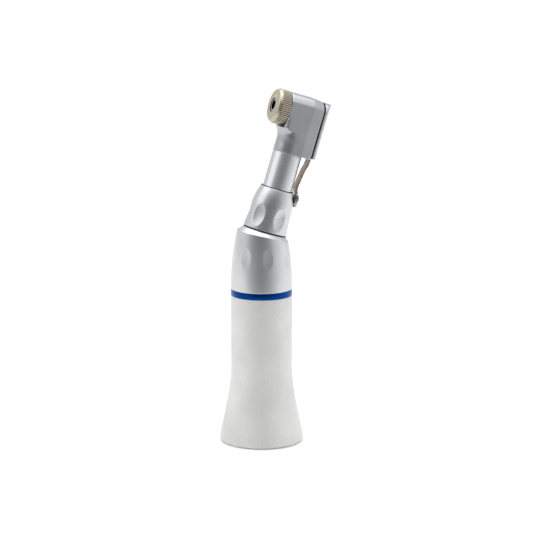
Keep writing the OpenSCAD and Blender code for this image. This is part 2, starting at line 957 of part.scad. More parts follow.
module chuck_outer_rings() {
    color("silver")
        for (h = [front_bearing, rear_bearing])
            in_head(h)
                outer_ring(chuck_ring_r, chuck_mid_r, chuck_ball_r, chuck_bearing_w);
}

module chuck_balls() {
    color("white")
        for (h = [front_bearing, rear_bearing])
            in_head(h)
                balls(chuck_ball_count, chuck_mid_r, chuck_ball_r, chuck_bearing_w);
}

module chuck_cages() {
    color("peru")
        for (h = [front_bearing, rear_bearing])
            in_head(h)
                cage(chuck_ball_count, chuck_mid_r, chuck_ball_r, chuck_bearing_w);
}

// ---------- latch

module on_latch(h = 0) {
    in_neck(latch_n)
        rotate([0, 90, 0])
            translate([0, 0, h])
                children();
}

module latch_screw() {
    color("silver")
        difference() {
            union() {
                on_latch(head_back - 1.5)
                    cylinder(h = screw_seat + 0.1 - head_back + 1.5, r = latch_pin_r);
                on_latch(screw_seat + 0.05)
                    cylinder(h = 0.7, r = screw_head_r);
            }
            on_latch(screw_seat + 0.5)
                translate([-2, -0.2, 0])
                    cube([4, 0.4, 2]);
        }
}

module latch_washer() {
    color("gray")
        on_latch(head_back)
            tube(latch_pin_r + 0.8, latch_pin_r + run_gap, plate_gap - 0.05);
}

// The plate's back is a round ridge along the neck.
module latch_plate() {
    sag = dome_h - plate_h - plate_edge;
    ridge_r = (plate_w * plate_w + sag * sag) / (2 * sag);
    notch_r = bur_r + 0.1;
    color("silver")
        difference() {
            intersection() {
                union() {
                    in_head(plate_h)
                        cylinder(h = dome_rise, r = plate_r);
                    in_neck(plate_n)
                        translate([plate_h, -plate_w, 0])
                            cube([dome_rise, 2 * plate_w, head_n - plate_n]);
                }
                in_neck(plate_n - 1)
                    translate([dome_h - ridge_r, 0, 0])
                        cylinder(h = 2 * head_rise, r = ridge_r);
                in_neck(plate_n - 1)
                    translate([plate_h - 1, -plate_w, 0])
                        cube([dome_rise + 2, 2 * plate_w, 2 * head_rise]);
            }
            on_latch(0)
                cylinder(h = 10, r = latch_pin_r + run_gap);
            on_latch(screw_seat)
                cylinder(h = 10, r = screw_head_r + free_gap);
            in_head(plate_h - 1)
                cylinder(h = 1.7, r = notch_r);
            in_head(plate_h - 1)
                translate([-notch_r, 0, 0])
                    cube([2 * notch_r, 2 * plate_r, 1.7]);
            in_neck(plate_n - 1)
                translate([plate_h - 1, -arm_w / 2 - fixed_gap, 0])
                    cube([1.05 + arm_t, arm_w + 2 * fixed_gap, 3.4]);
        }
}

module lever_arm() {
    color("rosybrown")
        difference() {
            in_neck(neck_len)
                translate([0, arm_w / 2, 0])
                    rotate([90, 0, 0])
                        linear_extrude(arm_w)
                            strip(arm_path, arm_t);
            arm_rivet_places()
                cylinder(h = 4, r = rivet_r + press_gap, center = true);
            on_pad()
                translate([pad_rivet_x, 0, 0])
                    cylinder(h = 2, r = pad_rivet_r + press_gap, center = true);
        }
}

module arm_rivet_places() {
    for (y = [-0.65, 0.65])
        in_neck(neck_len + 1.6)
            translate([arm_h, y, 0])
                rotate([0, 90, 0])
                    children();
}

module arm_rivets() {
    color("silver")
        arm_rivet_places()
            translate([0, 0, -arm_t / 2])
                cylinder(h = arm_t, r = rivet_r);
}

// Puts its children on the thumb pad's axis: Z points outwards and X down the neck.
module on_pad(lift = 0) {
    last = arm_path[len(arm_path) - 1];
    in_neck(neck_len + last[1])
        translate([last[0], 0, 0])
            rotate([0, 90 - pad_tilt, 0])
                translate([0.25, 0, arm_t / 2 + lift])
                    children();
}

module thumb_pad() {
    rim = 0.35;
    crown = pad_t - rim;
    crown_r = (pad_r * pad_r + crown * crown) / (2 * crown);
    color("whitesmoke")
        on_pad()
            difference() {
                intersection() {
                    cylinder(h = pad_t, r = pad_r);
                    translate([0, 0, pad_t - crown_r])
                        sphere(crown_r, $fn = 180);
                }
                translate([pad_rivet_x, 0, -1])
                    cylinder(h = 3, r = pad_rivet_r + press_gap);
            }
}

module pad_rivet() {
    color("silver")
        on_pad(-arm_t)
            translate([pad_rivet_x, 0, 0])
                cylinder(h = arm_t + pad_t - 0.1, r = pad_rivet_r);
}

rear_sheath();
colour_ring();
middle_sleeve();
joint_gasket();
upper_sleeve();
sleeve_seal();
neck_tube();
neck_lock_ring();
head_housing();
socket_tube();
retaining_ring();
bearing_carrier();
carrier_seal();
bearing_nut();
rear_outer_rings();
rear_spacer();
neck_bearing_nut();
neck_outer_rings();
neck_spacer();
chuck_outer_rings();
latch_screw();
latch_washer();
rear_shaft();
rear_inner_rings();
spring_seat();
drive_pin();
rear_gear();
clutch_dog();
clutch_spring();
rear_balls();
rear_cages();
neck_shaft();
neck_inner_rings();
neck_gear();
head_pinion();
neck_balls();
neck_cages();
chuck_tube();
chuck_gear();
chuck_inner_rings();
chuck_balls();
chuck_cages();
latch_plate();
lever_arm();
arm_rivets();
thumb_pad();
pad_rivet();
cap_washer();
head_cap();
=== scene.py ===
import json
import math

import bmesh
import bpy
from mathutils import Matrix, Vector
from mathutils.bvhtree import BVHTree


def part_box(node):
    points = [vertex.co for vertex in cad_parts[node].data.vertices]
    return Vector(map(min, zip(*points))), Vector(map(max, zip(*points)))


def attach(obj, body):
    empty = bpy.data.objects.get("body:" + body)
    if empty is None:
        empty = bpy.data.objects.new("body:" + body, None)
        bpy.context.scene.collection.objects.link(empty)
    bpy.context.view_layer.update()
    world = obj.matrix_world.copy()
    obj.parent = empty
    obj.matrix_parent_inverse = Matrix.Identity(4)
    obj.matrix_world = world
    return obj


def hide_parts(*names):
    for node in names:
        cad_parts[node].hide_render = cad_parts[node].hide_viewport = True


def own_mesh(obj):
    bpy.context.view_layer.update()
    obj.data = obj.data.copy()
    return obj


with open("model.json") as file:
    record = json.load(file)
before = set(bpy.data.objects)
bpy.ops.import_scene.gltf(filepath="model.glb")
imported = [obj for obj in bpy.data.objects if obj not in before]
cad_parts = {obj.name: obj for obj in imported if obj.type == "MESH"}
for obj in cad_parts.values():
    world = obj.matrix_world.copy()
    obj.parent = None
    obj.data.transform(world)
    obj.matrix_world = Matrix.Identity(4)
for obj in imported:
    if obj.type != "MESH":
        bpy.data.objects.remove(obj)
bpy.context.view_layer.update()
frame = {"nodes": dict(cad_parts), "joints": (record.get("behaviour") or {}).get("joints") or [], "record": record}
record = frame["record"]
cadNodes = frame["nodes"]
joints = {joint["name"]: joint for joint in frame["joints"]}
mm = 0.001

# The body, the neck and the head each have their own axes, taken from the joints.
neckAxis = Vector(joints["neck_spin"]["axis"]).normalized()
headAxis = Vector(joints["chuck_spin"]["axis"]).normalized()
sideAxis = Vector((0, 1, 0))
neckPoint = Vector(joints["neck_spin"]["pos_m"])
bendPoint = neckPoint - neckAxis * (neckPoint.x / neckAxis.x)
headPoint = Vector(joints["chuck_spin"]["pos_m"])
neckAngle = math.atan2(neckAxis.x, neckAxis.z)


def frameAt(point, xAxis, yAxis, zAxis):
    place = Matrix((xAxis, yAxis, zAxis)).transposed().to_4x4()
    place.translation = point
    return place


bodyPlace = Matrix.Identity(4)
neckPlace = frameAt(bendPoint, headAxis, sideAxis, neckAxis)
headPlace = frameAt(headPoint, -neckAxis, sideAxis, headAxis)
print("axes: bend at %.1f mm, neck turned %.1f degrees" % (bendPoint.z / mm, math.degrees(neckAngle)))


def toLinear(hexColour):
    channels = [int(hexColour[i:i + 2], 16) / 255 for i in (0, 2, 4)]
    return [c / 12.92 if c <= 0.04045 else ((c + 0.055) / 1.055) ** 2.4 for c in channels] + [1.0]


def addNode(tree, kind, inputs=None, **settings):
    node = tree.nodes.new(kind)
    for name, value in settings.items():
        setattr(node, name, value)
    for socket, value in (inputs or {}).items():
        if isinstance(value, bpy.types.NodeSocket):
            tree.links.new(value, node.inputs[socket])
        else:
            node.inputs[socket].default_value = value
    return node


# grainMm is the size of the fine marks along X, Y and Z, cloudMm that of the broad tone changes.
# turn lays the marks along the neck instead of the body.
finishes = {
    # aluminium, bead-blasted and clear anodised: matt, pale, a fine even grain
    "blastedAluminium": {"colour": "e6e6e6", "shade": "d8d9d8", "metallic": 1.0,
                         "roughness": (0.66, 0.76), "grainMm": (0.22, 0.22, 0.22),
                         "cloudMm": 9, "bumpMm": 0.006, "turn": False},
    # aluminium, blue dye anodised: deep colour, a soft gloss, faint turning rings
    "blueAnodised": {"colour": "034090", "shade": "023272", "metallic": 1.0,
                     "roughness": (0.27, 0.36), "grainMm": (2.5, 2.5, 0.12),
                     "cloudMm": 5, "bumpMm": 0.002, "turn": False},
    # brass, satin chrome plated: cool grey, soft wide highlights
    "satinChrome": {"colour": "cccdd0", "shade": "c3c5c8", "metallic": 1.0,
                    "roughness": (0.29, 0.33), "grainMm": (1.6, 1.6, 0.16),
                    "cloudMm": 7, "bumpMm": 0.0006, "turn": False},
    # the same plating on the slimmer neck, a little glossier
    "satinChromeNeck": {"colour": "cccdd0", "shade": "c3c5c8", "metallic": 1.0,
                        "roughness": (0.26, 0.30), "grainMm": (1.6, 1.6, 0.16),
                        "cloudMm": 7, "bumpMm": 0.0006, "turn": True},
    # brass, fine satin chrome: a closer grain on the cast head, its colour painted darker than the sleeves' as
    # shade
    "satinChromeHeadShaded": {"colour": "b2b3b7", "shade": "a8a9ae", "metallic": 1.0,
                        "roughness": (0.27, 0.32), "grainMm": (0.2, 0.2, 0.2),
                        "cloudMm": 5, "bumpMm": 0.0004, "turn": True},
    # brass, champagne nickel plated: warm pale metal
    "champagneNickel": {"colour": "c1baa9", "shade": "b0a895", "metallic": 1.0,
                        "roughness": (0.30, 0.38), "grainMm": (0.25, 0.25, 0.25),
                        "cloudMm": 3, "bumpMm": 0.002, "turn": True},
    # the same plating, painted dark brown as shade in the knurl's grooves and the bur's hole
    "grooveShadeNickel": {"colour": "2a2115", "shade": "1c160d", "metallic": 1.0,
                     "roughness": (0.45, 0.60), "grainMm": (0.25, 0.25, 0.25),
                     "cloudMm": 3, "bumpMm": 0.002, "turn": True},
    # steel painted nearly black as shade, not a finish of its own: on the chuck tube's walls, the latch plate's
    # inner face and the underside of the pad
    "shadeBlack": {"colour": "17171a", "shade": "0d0d0f", "metallic": 1.0,
                   "roughness": (0.30, 0.42), "grainMm": (0.2, 0.2, 0.2),
                   "cloudMm": 2, "bumpMm": 0.001, "turn": True},
    # cold rolled spring steel, tempered: brownish grey, rolled along its length
    "springSteel": {"colour": "a89c8d", "shade": "8b7f72", "metallic": 1.0,
                    "roughness": (0.28, 0.42), "grainMm": (0.12, 0.12, 1.8),
                    "cloudMm": 2.5, "bumpMm": 0.002, "turn": True},
    # stainless steel, polished
    "polishedSteel": {"colour": "dcdcd8", "shade": "d2d2cf", "metallic": 1.0,
                      "roughness": (0.14, 0.20), "grainMm": (0.3, 0.3, 0.3),
                      "cloudMm": 4, "bumpMm": 0.0006, "turn": True},
    # nitrile rubber, moulded: dull black
    "blackRubber": {"colour": "0c0c0d", "shade": "17171a", "metallic": 0.0,
                    "roughness": (0.55, 0.72), "grainMm": (0.15, 0.15, 0.15),
                    "cloudMm": 2, "bumpMm": 0.008, "turn": False},
    # aluminium, turned on a lathe: fine rings round the body
    "turnedAluminium": {"colour": "c9cacc", "shade": "b4b5b8", "metallic": 1.0,
                        "roughness": (0.26, 0.38), "grainMm": (4, 4, 0.14),
                        "cloudMm": 8, "bumpMm": 0.004, "turn": False},
    # hardened steel, ground
    "groundSteel": {"colour": "b9babd", "shade": "a5a6aa", "metallic": 1.0,
                    "roughness": (0.20, 0.30), "grainMm": (0.9, 0.9, 0.1),
                    "cloudMm": 4, "bumpMm": 0.0015, "turn": False},
    # gear steel with a gold hard coat
    "coatedGear": {"colour": "c8a453", "shade": "b08c3f", "metallic": 1.0,
                   "roughness": (0.28, 0.38), "grainMm": (0.2, 0.2, 0.2),
                   "cloudMm": 2, "bumpMm": 0.002, "turn": True},
    # bearing steel, ground and polished
    "bearingSteel": {"colour": "cdced1", "shade": "bfc0c4", "metallic": 1.0,
                     "roughness": (0.10, 0.17), "grainMm": (0.25, 0.25, 0.25),
                     "cloudMm": 3, "bumpMm": 0.0005, "turn": False},
    # cotton-filled phenolic, machined: brown, dry, with its weave showing
    "phenolic": {"colour": "7a4a24", "shade": "55301a", "metallic": 0.0,
                 "roughness": (0.50, 0.66), "grainMm": (0.3, 0.3, 0.3),
                 "cloudMm": 1.2, "bumpMm": 0.012, "turn": False},
}


def makeFinish(name, look):
    material = bpy.data.materials.new(name)
    material.use_nodes = True
    tree = material.node_tree
    shader = tree.nodes["Principled BSDF"]
    shader.inputs["Metallic"].default_value = look["metallic"]
    if not look["metallic"]:
        shader.inputs["IOR"].default_value = 1.52
    place = addNode(tree, "ShaderNodeTexCoord").outputs["Object"]
    if look["turn"]:
        place = addNode(tree, "ShaderNodeMapping", {"Vector": place,
                        "Rotation": (0, -neckAngle, 0)}).outputs["Vector"]
    stretched = addNode(tree, "ShaderNodeMapping", {"Vector": place,
                        "Scale": [1 / (size * mm) for size in look["grainMm"]]})
    grain = addNode(tree, "ShaderNodeTexNoise", {"Vector": stretched.outputs["Vector"],
                    "Scale": 1.0, "Detail": 3.0, "Roughness": 0.6})
    cloud = addNode(tree, "ShaderNodeTexNoise", {"Vector": place,
                    "Scale": 1 / (look["cloudMm"] * mm), "Detail": 2.0})
    tone = addNode(tree, "ShaderNodeMath", {0: grain.outputs["Fac"], 1: cloud.outputs["Fac"]},
                   operation="MULTIPLY")
    # two noises multiplied stay between these two values
    spread = addNode(tree, "ShaderNodeMapRange", {"Value": tone.outputs[0],
                     "From Min": 0.12, "From Max": 0.40})
    colour = addNode(tree, "ShaderNodeMix", {"Factor": spread.outputs["Result"],
                     "A": toLinear(look["shade"]), "B": toLinear(look["colour"])}, data_type="RGBA")
    low, high = look["roughness"]
    gloss = addNode(tree, "ShaderNodeMapRange", {"Value": grain.outputs["Fac"],
                    "From Min": 0.3, "From Max": 0.7, "To Min": high, "To Max": low})
    bump = addNode(tree, "ShaderNodeBump", {"Height": grain.outputs["Fac"], "Strength": 1.0,
                   "Distance": look["bumpMm"] * mm})
    tree.links.new(colour.outputs[2], shader.inputs["Base Color"])
    tree.links.new(gloss.outputs["Result"], shader.inputs["Roughness"])
    tree.links.new(bump.outputs["Normal"], shader.inputs["Normal"])
    return material


materials = {name: makeFinish(name, look) for name, look in finishes.items()}
slotFinish = {"sheath": "blastedAluminium", "ring": "blueAnodised", "sleeve": "satinChrome",
              "head": "satinChromeHeadShaded", "cap": "champagneNickel", "spring_steel": "springSteel",
              "pad": "polishedSteel", "rubber": "blackRubber", "frame": "turnedAluminium",
              "steel": "groundSteel", "gear": "coatedGear", "bearing": "bearingSteel",
              "cage": "phenolic"}
nodeSlot = {part["node"]: part["material_slot"] for part in record["subparts"]}
bodyOf = {node: body for body, nodes in record["behaviour"]["bodies"].items() for node in nodes}
for nodeName, node in cadNodes.items():
    node.data.materials.clear()
    node.data.materials.append(materials[slotFinish[nodeSlot[nodeName]]])
print("materials: %d finishes" % len(materials))


# The functions below work in millimetres, in the frame of the body, the neck or the head.
def spinProfile(profile, steps):
    bm = bmesh.new()
    verts = [bm.verts.new((r, 0, z)) for r, z in profile]
    edges = [bm.edges.new(pair) for pair in zip(verts, verts[1:] + verts[:1])]
    bmesh.ops.spin(bm, geom=verts + edges, cent=(0, 0, 0), axis=(0, 0, 1), angle=math.tau,
                   steps=steps, use_merge=True)
    bmesh.ops.remove_doubles(bm, verts=bm.verts, dist=1e-5)
    bmesh.ops.recalc_face_normals(bm, faces=bm.faces)
    return bm


def softenEdges(bm, width, segments, angle=30):
    sharp = [e for e in bm.edges if e.is_manifold and e.calc_face_angle() > math.radians(angle)]
    bmesh.ops.bevel(bm, geom=sharp, offset=width, offset_type="OFFSET", segments=segments,
                    profile=0.5, affect="EDGES", clamp_overlap=True, material=-1)


def pressDimples(bm, dimples):
    for centre, radius in dimples:
        for vert in bm.verts:
            away = vert.co - centre
            if away.length < radius:
                vert.co = centre + away.normalized() * radius


def dimpleBalls(look, wallR, z, tilt, bulge):
    shape = (look["dimpleLen"] / look["dimpleW"]) ** 2
    ballR = (shape - 1) / (1 / wallR - shape * bulge)
    depth = look["dimpleLen"] ** 2 / 8 * (1 / ballR + bulge)
    reach = wallR + (ballR - depth) * math.cos(tilt)
    height = z + (ballR - depth) * math.sin(tilt)
    turns = [math.radians(look["dimpleTurn"]) + math.tau * i / look["dimples"]
             for i in range(look["dimples"])]
    return [(Vector((reach * math.cos(t), reach * math.sin(t), height)), ballR) for t in turns]


def addPiece(name, bm, place, nodeName, finish=None, sharpAngle=35, second=None):
    bm.transform(place @ Matrix.Scale(mm, 4))
    mesh = bpy.data.meshes.new(name)
    bm.to_mesh(mesh)
    bm.free()
    mesh.shade_smooth()
    mesh.set_sharp_from_angle(angle=math.radians(sharpAngle))
    piece = bpy.data.objects.new(name, mesh)
    bpy.context.scene.collection.objects.link(piece)
    mesh.materials.append(materials[finish or slotFinish[nodeSlot[nodeName]]])
    if second:
        mesh.materials.append(materials[second])
    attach(piece, bodyOf[nodeName])
    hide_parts(nodeName)
    return piece


def copyOf(nodeName, place):
    # flat faces come back whole, so that only true edges are left to soften
    bm = bmesh.new()
    bm.from_mesh(cadNodes[nodeName].data)
    bm.transform(Matrix.Scale(1 / mm, 4) @ place.inverted())
    bmesh.ops.remove_doubles(bm, verts=bm.verts, dist=2e-4)
    bmesh.ops.dissolve_limit(bm, angle_limit=math.radians(0.7), verts=bm.verts, edges=bm.edges)
    return bm


# Rear sheath: a flared tube with a rounded rim, open below for the motor.
sheath = {"bodyR": 7.5, "boreR": 6.5, "band": 1.5, "bandBlend": 0.1, "bandStep": 0.03,
          "rimRound": 0.6, "rimSteps": 8, "slope": 11.6, "sweepR": 50, "sweepSteps": 16,
          "recessR": 8.78, "recessLen": 2.4, "lipRound": 0.1, "lipSegments": 2, "lipAngle": 60,
          "steps": 192}


def sheathProfile():
    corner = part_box("rear_sheath")[1]
    flareR = corner.x / mm
    top = corner.z / mm
    slope = math.radians(sheath["slope"])
    bendR = sheath["bodyR"] + sheath["sweepR"] * (1 - math.cos(slope))
    bendZ = sheath["band"] + (flareR - bendR) / math.tan(slope)
    sweepTop = bendZ + sheath["sweepR"] * math.sin(slope)
    rim = sheath["rimRound"]
    profile = [(sheath["recessR"], 0)]
    for i in range(sheath["rimSteps"] + 1):
        turn = math.pi / 2 * i / sheath["rimSteps"]
        profile.append((flareR - rim + rim * math.sin(turn), rim - rim * math.cos(turn)))
    profile += [(flareR, sheath["band"] - sheath["bandBlend"]),
                (flareR - sheath["bandStep"], sheath["band"] + sheath["bandBlend"])]
    for i in range(sheath["sweepSteps"] + 1):
        lean = slope * (1 - i / sheath["sweepSteps"])
        profile.append((sheath["bodyR"] + sheath["sweepR"] * (1 - math.cos(lean)),
                        sweepTop - sheath["sweepR"] * math.sin(lean)))
    profile += [(sheath["bodyR"], top), (sheath["boreR"], top),
                (sheath["boreR"], sheath["recessLen"]), (sheath["recessR"], sheath["recessLen"])]
    return profile


bm = spinProfile(sheathProfile(), sheath["steps"])
softenEdges(bm, sheath["lipRound"], sheath["lipSegments"], sheath["lipAngle"])
addPiece("rearSheath", bm, bodyPlace, "rear_sheath")

# Colour ring, flush with the sheath.
ring = {"outerR": 7.5, "innerR": 6.48, "edge": 0.07, "edgeSegments": 2, "steps": 192}
low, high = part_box("colour_ring")
ringLow = low.z / mm
ringTop = high.z / mm
bm = spinProfile([(ring["innerR"], ringLow), (ring["outerR"], ringLow),
                  (ring["outerR"], ringTop), (ring["innerR"], ringTop)], ring["steps"])
softenEdges(bm, ring["edge"], ring["edgeSegments"])
addPiece("colourRing", bm, bodyPlace, "colour_ring")

# Middle sleeve: its top is cut to a cone round the neck, and dimples run round it. Names that end
# in N are distances along the neck from the bend.
middle = {"baseR": 7.55, "arcR": 70, "lipR": 5.4, "jointN": 2.75, "shoulderN": 1.9, "collarR": 4.62,
          "collarEndN": -1.2, "neckR": 3.63, "coreR": 6.03, "coreTop": 47.2, "dimples": 8,
          "dimpleLen": 5.1, "dimpleW": 2.6, "dimpleRise": 8.3, "dimpleTurn": -5, "lowestTop": 5,
          "highestTop": 18, "halvings": 40, "rows": 72, "steps": 288, "edge": 0.12,
          "edgeSegments": 3, "edgeAngle": 28}
toNeck = Matrix.Scale(1 / mm, 4) @ neckPlace.inverted() @ Matrix.Scale(mm, 4)
fromNeck = toNeck.inverted()


def middleR(z):
    rise = z - ringTop
    return middle["baseR"] - middle["arcR"] + math.sqrt(middle["arcR"] ** 2 - rise ** 2)


# The height at which the wall meets the cone, found by halving.
def middleTop(turn):
    below = ringTop + middle["lowestTop"]
    above = ringTop + middle["highestTop"]
    for _ in range(middle["halvings"]):
        z = (below + above) / 2
        r = middleR(z)
        seen = toNeck @ Vector((r * math.cos(turn), r * math.sin(turn), z))
        if math.hypot(seen.x, seen.y) + seen.z < middle["lipR"] + middle["jointN"]:
            below = z
        else:
            above = z
    return below


# Extrudes an open loop by one row and puts each new point where the place function says.
def growLoop(bm, loop, place):
    grown = bmesh.ops.extrude_edge_only(bm, edges=loop)["geom"]
    for vert in [g for g in grown if isinstance(g, bmesh.types.BMVert)]:
        vert.co = place(vert.co)
    return [g for g in grown if isinstance(g, bmesh.types.BMEdge)
            and all(v in grown for v in g.verts)]


def wallRow(share):
    def place(co):
        turn = math.atan2(co.y, co.x)
        z = ringTop + (middleTop(turn) - ringTop) * share
        return Vector((middleR(z) * math.cos(turn), middleR(z) * math.sin(turn), z))
    return place


def neckRow(r, n):
    def place(co):
        seen = toNeck @ co
        turn = math.atan2(seen.y, seen.x)
        return fromNeck @ Vector((r * math.cos(turn), r * math.sin(turn), n))
    return place


def bodyRow(r, z):
    def place(co):
        turn = math.atan2(co.y, co.x)
        return Vector((r * math.cos(turn), r * math.sin(turn), z))
    return place


bm = bmesh.new()
bmesh.ops.create_circle(bm, segments=middle["steps"], radius=1)
baseLoop = bm.edges[:]
loop = baseLoop
placeBase = bodyRow(middleR(ringTop), ringTop)
for vert in bm.verts:
    vert.co = placeBase(vert.co)
for row in range(1, middle["rows"] + 1):
    loop = growLoop(bm, loop, wallRow(row / middle["rows"]))
tilt = math.asin(middle["dimpleRise"] / middle["arcR"])
wallR = middle["baseR"] - middle["arcR"] * (1 - math.cos(tilt))
pressDimples(bm, dimpleBalls(middle, wallR, ringTop + middle["dimpleRise"], tilt, 1 / middle["arcR"]))
# Over the lip, down through the neck's seat, and back down inside to the ring.
insideRows = [neckRow(middle["lipR"], middle["jointN"]), neckRow(middle["neckR"], middle["jointN"]),
              neckRow(middle["neckR"], middle["shoulderN"]),
              neckRow(middle["collarR"], middle["shoulderN"]),
              neckRow(middle["collarR"], middle["collarEndN"]),
              bodyRow(middle["coreR"], middle["coreTop"]), bodyRow(middle["coreR"], ringTop)]
for place in insideRows:
    loop = growLoop(bm, loop, place)
bmesh.ops.bridge_loops(bm, edges=loop + baseLoop)
bmesh.ops.recalc_face_normals(bm, faces=bm.faces)
softenEdges(bm, middle["edge"], middle["edgeSegments"], middle["edgeAngle"])
addPiece("middleSleeve", bm, bodyPlace, "middle_sleeve")

# Upper sleeve on the neck, with six long dimples.
upper = {"baseR": 5.5, "taper": 3.7, "arcR": 17, "arcLen": 5, "len": 10.4, "boreR": 3.63,
         "baseN": 3.08, "dimples": 6, "dimpleLen": 5.6, "dimpleW": 3.1, "dimpleRise": 3.5,
         "dimpleTurn": -18, "rows": 60, "steps": 240, "edge": 0.1, "edgeSegments": 3,
         "edgeAngle": 40}


def upperR(rise):
    taper = math.radians(upper["taper"])
    start = upper["len"] - upper["arcLen"]
    if rise <= start:
        return upper["baseR"] - rise * math.tan(taper)
    centreR = upper["baseR"] - start * math.tan(taper) - upper["arcR"] * math.cos(taper)
    centreZ = start - upper["arcR"] * math.sin(taper)
    return centreR + math.sqrt(upper["arcR"] ** 2 - (rise - centreZ) ** 2)


profile = [(upperR(upper["len"] * i / upper["rows"]), upper["len"] * i / upper["rows"])
           for i in range(upper["rows"] + 1)]
profile += [(upper["boreR"], upper["len"]), (upper["boreR"], 0)]
bm = spinProfile(profile, upper["steps"])
pressDimples(bm, dimpleBalls(upper, upperR(upper["dimpleRise"]), upper["dimpleRise"],
                             math.radians(upper["taper"]), 0))
softenEdges(bm, upper["edge"], upper["edgeSegments"], upper["edgeAngle"])
bmesh.ops.translate(bm, verts=bm.verts, vec=(0, 0, upper["baseN"]))
addPiece("upperSleeve", bm, neckPlace, "upper_sleeve", "satinChromeNeck")

# Neck tube, with the flange inside the joint and the stub inside the head.
neck = {"outerR": 3.6, "boreR": 2.82, "start": 0.9, "shoulder": 1.9, "collarR": 4.6, "len": 22.5,
        "stubR": 3.1, "stubLen": 3.5, "stubBore": 2.2, "boreEnd": 20.4, "steps": 128,
        "edge": 0.06, "edgeSegments": 2}
bm = spinProfile([(neck["boreR"], neck["start"]), (neck["collarR"], neck["start"]),
                  (neck["collarR"], neck["shoulder"]), (neck["outerR"], neck["shoulder"]),
                  (neck["outerR"], neck["len"]), (neck["stubR"], neck["len"]),
                  (neck["stubR"], neck["len"] + neck["stubLen"]),
                  (neck["stubBore"], neck["len"] + neck["stubLen"]),
                  (neck["stubBore"], neck["boreEnd"]), (neck["boreR"], neck["boreEnd"])],
                 neck["steps"])
softenEdges(bm, neck["edge"], neck["edgeSegments"])
addPiece("neckTube", bm, neckPlace, "neck_tube", "satinChromeNeck")
print("body and neck shells done")

# Latch plate, lever and the small turned parts: the machined shapes with their edges broken.
# The faces that dark picks are painted near black as shade, and inset draws them in from their edge.
softened = {
    "latchPlate": {"node": "latch_plate", "width": 0.1, "segments": 3,
                   "dark": lambda face: face.normal.z < -0.95},
    "leverArm": {"node": "lever_arm", "width": 0.08, "segments": 2},
    "thumbPad": {"node": "thumb_pad", "width": 0.08, "segments": 3, "inset": 0.7,
                 "dark": lambda face: face.normal.z < -0.4},
    "latchScrew": {"node": "latch_screw", "width": 0.06, "segments": 2},
    "chuckTube": {"node": "chuck_tube", "width": 0.06, "segments": 2,
                  "dark": lambda face: abs(face.normal.z) < 0.9},
}
for name, look in softened.items():
    bm = copyOf(look["node"], headPlace)
    softenEdges(bm, look["width"], look["segments"])
    bm.normal_update()
    if "dark" in look:
        # painted shade: these faces get the near-black second finish
        paintedShadeFaces = [face for face in bm.faces if look["dark"](face)]
        if "inset" in look:
            bmesh.ops.inset_region(bm, faces=paintedShadeFaces, thickness=look["inset"])
        for face in paintedShadeFaces:
            face.material_index = 1
    piece = addPiece(name, bm, headPlace, look["node"],
                     second="shadeBlack" if "dark" in look else None)
    # flats stay flat beside their soft edges
    evened = piece.modifiers.new("evenNormals", "WEIGHTED_NORMAL")
    evened.keep_sharp = True
    evened.weight = 100

# The head housing is cast and polished: a fine remesh rounds its edges, and the swell under the cap
# is smoothed into its flat sides. The swell lies between two distances down the neck, in front of
# swellBack and past swellSide on either side; boreSide and stubSide take in the two bores.
head = {"voxel": 0.12, "passes": 3, "factor": 0.5, "swellPasses": 220, "swellTop": 4.9,
        "swellEnd": 9.0, "swellBack": 1.2, "swellSide": 1.6, "boreSide": 3.5, "stubSide": 3.3,
        "sharpAngle": 60}
bm = copyOf("head_housing", headPlace)
walls = BVHTree.FromBMesh(bm)
roughMesh = bpy.data.meshes.new("headRough")
bm.to_mesh(roughMesh)
bm.free()
roughHead = bpy.data.objects.new("headRough", roughMesh)
bpy.context.scene.collection.objects.link(roughHead)
remesh = roughHead.modifiers.new("fine", "REMESH")
remesh.mode = "VOXEL"
remesh.voxel_size = head["voxel"]
bpy.context.view_layer.update()
bm = bmesh.new()
bm.from_object(roughHead, bpy.context.evaluated_depsgraph_get())
bpy.data.objects.remove(roughHead)
outside = []
for vert in bm.verts:
    inBore = math.hypot(vert.co.x, vert.co.y) < head["boreSide"]
    inStub = math.hypot(vert.co.y, vert.co.z) < head["stubSide"]
    if inBore or inStub:
        vert.co = walls.find_nearest(vert.co)[0]  # bores keep their true size
    else:
        outside.append(vert)
for _ in range(head["passes"]):
    bmesh.ops.smooth_vert(bm, verts=outside, factor=head["factor"], use_axis_x=True,
                          use_axis_y=True, use_axis_z=True)
swell = [vert for vert in outside if head["swellTop"] < vert.co.x < head["swellEnd"]
         and vert.co.z < head["swellBack"] and abs(vert.co.y) > head["swellSide"]]
for _ in range(head["swellPasses"]):
    bmesh.ops.smooth_vert(bm, verts=swell, factor=head["factor"], use_axis_x=True,
                          use_axis_y=True, use_axis_z=True)
bmesh.ops.recalc_face_normals(bm, faces=bm.faces)
print("head housing: %d faces" % len(bm.faces))
addPiece("headHousing", bm, headPlace, "head_housing", sharpAngle=head["sharpAngle"])
print("head and latch done")

# The clutch spring is wound from round wire; on the real handpiece it closes up as the clutch dog is pushed in.
spring = {"wireR": 0.2, "turns": 5, "sides": 12, "stepsPerTurn": 32}
low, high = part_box("clutch_spring")
coilR = (high.x - low.x) / 2 / mm - spring["wireR"]
coilLen = (high.z - low.z) / mm
coilSteps = spring["turns"] * spring["stepsPerTurn"]
coilRise = (coilLen - 2 * spring["wireR"]) / coilSteps
bm = bmesh.new()
wireStart = Matrix.Translation((coilR, 0, low.z / mm + spring["wireR"]))
bmesh.ops.create_circle(bm, segments=spring["sides"], radius=spring["wireR"],
                        matrix=wireStart @ Matrix.Rotation(math.pi / 2, 4, "X"))
bmesh.ops.spin(bm, geom=bm.verts[:] + bm.edges[:], cent=(0, 0, 0), axis=(0, 0, 1),
               dvec=(0, 0, coilRise), angle=math.tau * spring["turns"], steps=coilSteps,
               use_merge=False)
bmesh.ops.holes_fill(bm, edges=[edge for edge in bm.edges if edge.is_boundary])
bmesh.ops.recalc_face_normals(bm, faces=bm.faces)
